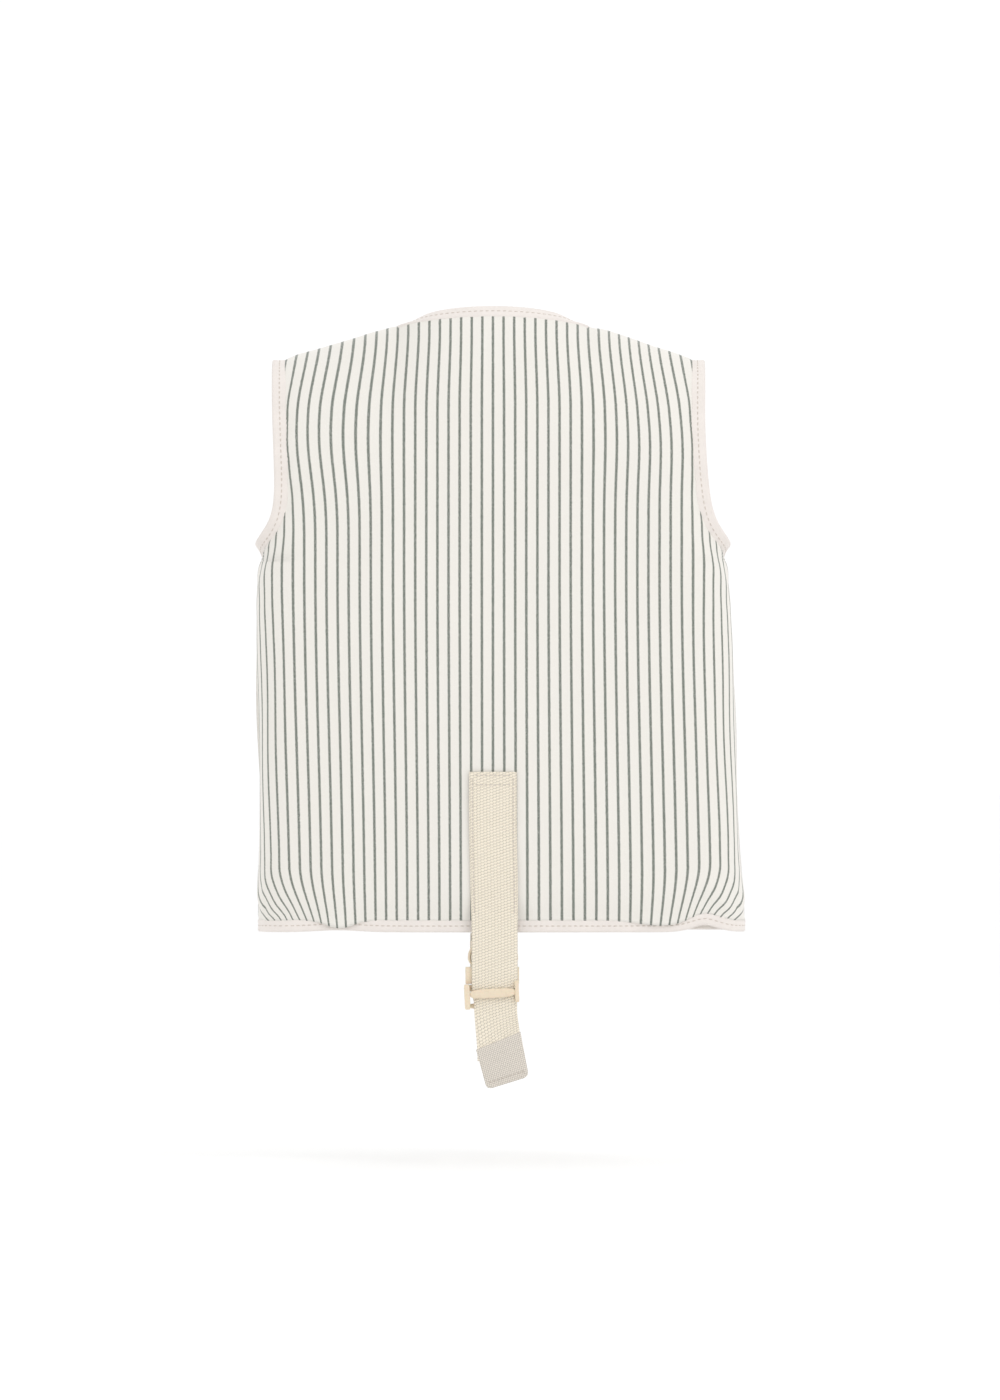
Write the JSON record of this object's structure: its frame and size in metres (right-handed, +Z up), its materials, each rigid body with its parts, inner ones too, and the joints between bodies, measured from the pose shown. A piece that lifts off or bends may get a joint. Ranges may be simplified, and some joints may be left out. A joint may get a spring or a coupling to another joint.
{
  "type": "child swim vest",
  "caption": "Padded striped swim vest for a child, with bound edges, a separating front zip and a webbing crotch strap closed by a side-release buckle.",
  "frame": {"origin": "the point at which the vest is held: level with the neck ends of the shoulder seams, on the centre plane, midway between back and front", "axes": "+Z up as worn, +Y to the front with the zip, +X to the right seen from the back"},
  "size_m": [0.318, 0.1225, 0.5088],
  "materials": {
    "striped_neoprene": "cream knit-faced neoprene with thin grey-green upright stripes",
    "cream_binding": "plain cream stretch binding, stitched",
    "float_foam": "closed-cell foam",
    "lining_knit": "plain smooth knit",
    "webbing": "coarse woven webbing",
    "woven_tab": "fine diamond weave",
    "buckle_plastic": "moulded, glossy",
    "zip_plastic": "moulded, satin"
  },
  "bodies": {
    "vest_back": {"back_outer": "striped_neoprene", "back_foam": "float_foam", "back_lining": "lining_knit", "shoulder_outer_left": "striped_neoprene", "shoulder_outer_right": "striped_neoprene", "shoulder_lining_left": "lining_knit", "shoulder_lining_right": "lining_knit", "neck_binding": "cream_binding", "armhole_binding_left": "cream_binding", "armhole_binding_right": "cream_binding", "hem_binding": "cream_binding", "crotch_strap_sewn": "webbing"},
    "front_left": {"front_left_outer": "striped_neoprene", "front_left_foam": "float_foam", "front_left_lining": "lining_knit", "neck_binding_front_left": "cream_binding", "armhole_binding_front_left": "cream_binding", "hem_binding_front_left": "cream_binding", "zip_tape_left": "cream_binding", "zip_teeth_left": "zip_plastic", "zip_top_stop_left": "zip_plastic", "zip_insertion_pin": "zip_plastic"},
    "front_right": {"front_right_outer": "striped_neoprene", "front_right_foam": "float_foam", "front_right_lining": "lining_knit", "neck_binding_front_right": "cream_binding", "armhole_binding_front_right": "cream_binding", "hem_binding_front_right": "cream_binding", "zip_tape_right": "cream_binding", "zip_teeth_right": "zip_plastic", "zip_top_stop_right": "zip_plastic", "zip_bottom_box": "zip_plastic"},
    "zip_slider": {"zip_slider": "zip_plastic"},
    "zip_pull": {"zip_pull": "zip_plastic"},
    "crotch_strap": {"crotch_strap_free": "webbing", "strap_end_tab": "woven_tab", "buckle_female": "buckle_plastic", "front_strap": "webbing"},
    "buckle_male": {"buckle_male_frame": "buckle_plastic"},
    "prong_left": {"buckle_prong_left": "buckle_plastic"},
    "prong_right": {"buckle_prong_right": "buckle_plastic"}
  },
  "joints": [
    {"name": "front_left_open", "type": "hinge", "parent": "vest_back", "child": "front_left", "pos_m": [-0.1608, 0, -0.246], "axis": [0, 0, 1], "range_deg": [0, 45]},
    {"name": "front_right_open", "type": "hinge", "parent": "vest_back", "child": "front_right", "pos_m": [0.1608, 0, -0.246], "axis": [0, 0, 1], "range_deg": [-45, 0]},
    {"name": "zip_slide", "type": "slide", "parent": "front_left", "child": "zip_slider", "axis": [0, 0, -1], "range_m": [0, 0.3]},
    {"name": "zip_pull_flip", "type": "hinge", "parent": "zip_slider", "child": "zip_pull", "pos_m": [0, 0.0578, -0.0689], "axis": [1, 0, 0], "range_deg": [0, 75]},
    {"name": "strap_swing", "type": "hinge", "parent": "vest_back", "child": "crotch_strap", "pos_m": [0, -0.05705, -0.396], "axis": [1, 0, 0], "range_deg": [-12, 12], "deforming": ["front_strap"]},
    {"name": "buckle_release", "type": "slide", "parent": "crotch_strap", "child": "buckle_male", "axis": [0, 0, -1], "range_m": [0, 0.026]},
    {"name": "prong_left_squeeze", "type": "hinge", "parent": "buckle_male", "child": "prong_left", "pos_m": [-0.0105, -0.0515, -0.4285], "axis": [0, 1, 0], "range_deg": [0, 5], "stiffness_Nm_per_rad": 0.02},
    {"name": "prong_right_squeeze", "type": "hinge", "parent": "buckle_male", "child": "prong_right", "pos_m": [0.0105, -0.0515, -0.4285], "axis": [0, 1, 0], "range_deg": [-5, 0], "stiffness_Nm_per_rad": 0.02}
  ],
  "couplings": [
    {"joint": "front_right_open", "follows": "front_left_open", "ratio": -1},
    {"joint": "prong_right_squeeze", "follows": "prong_left_squeeze", "ratio": -1}
  ]
}
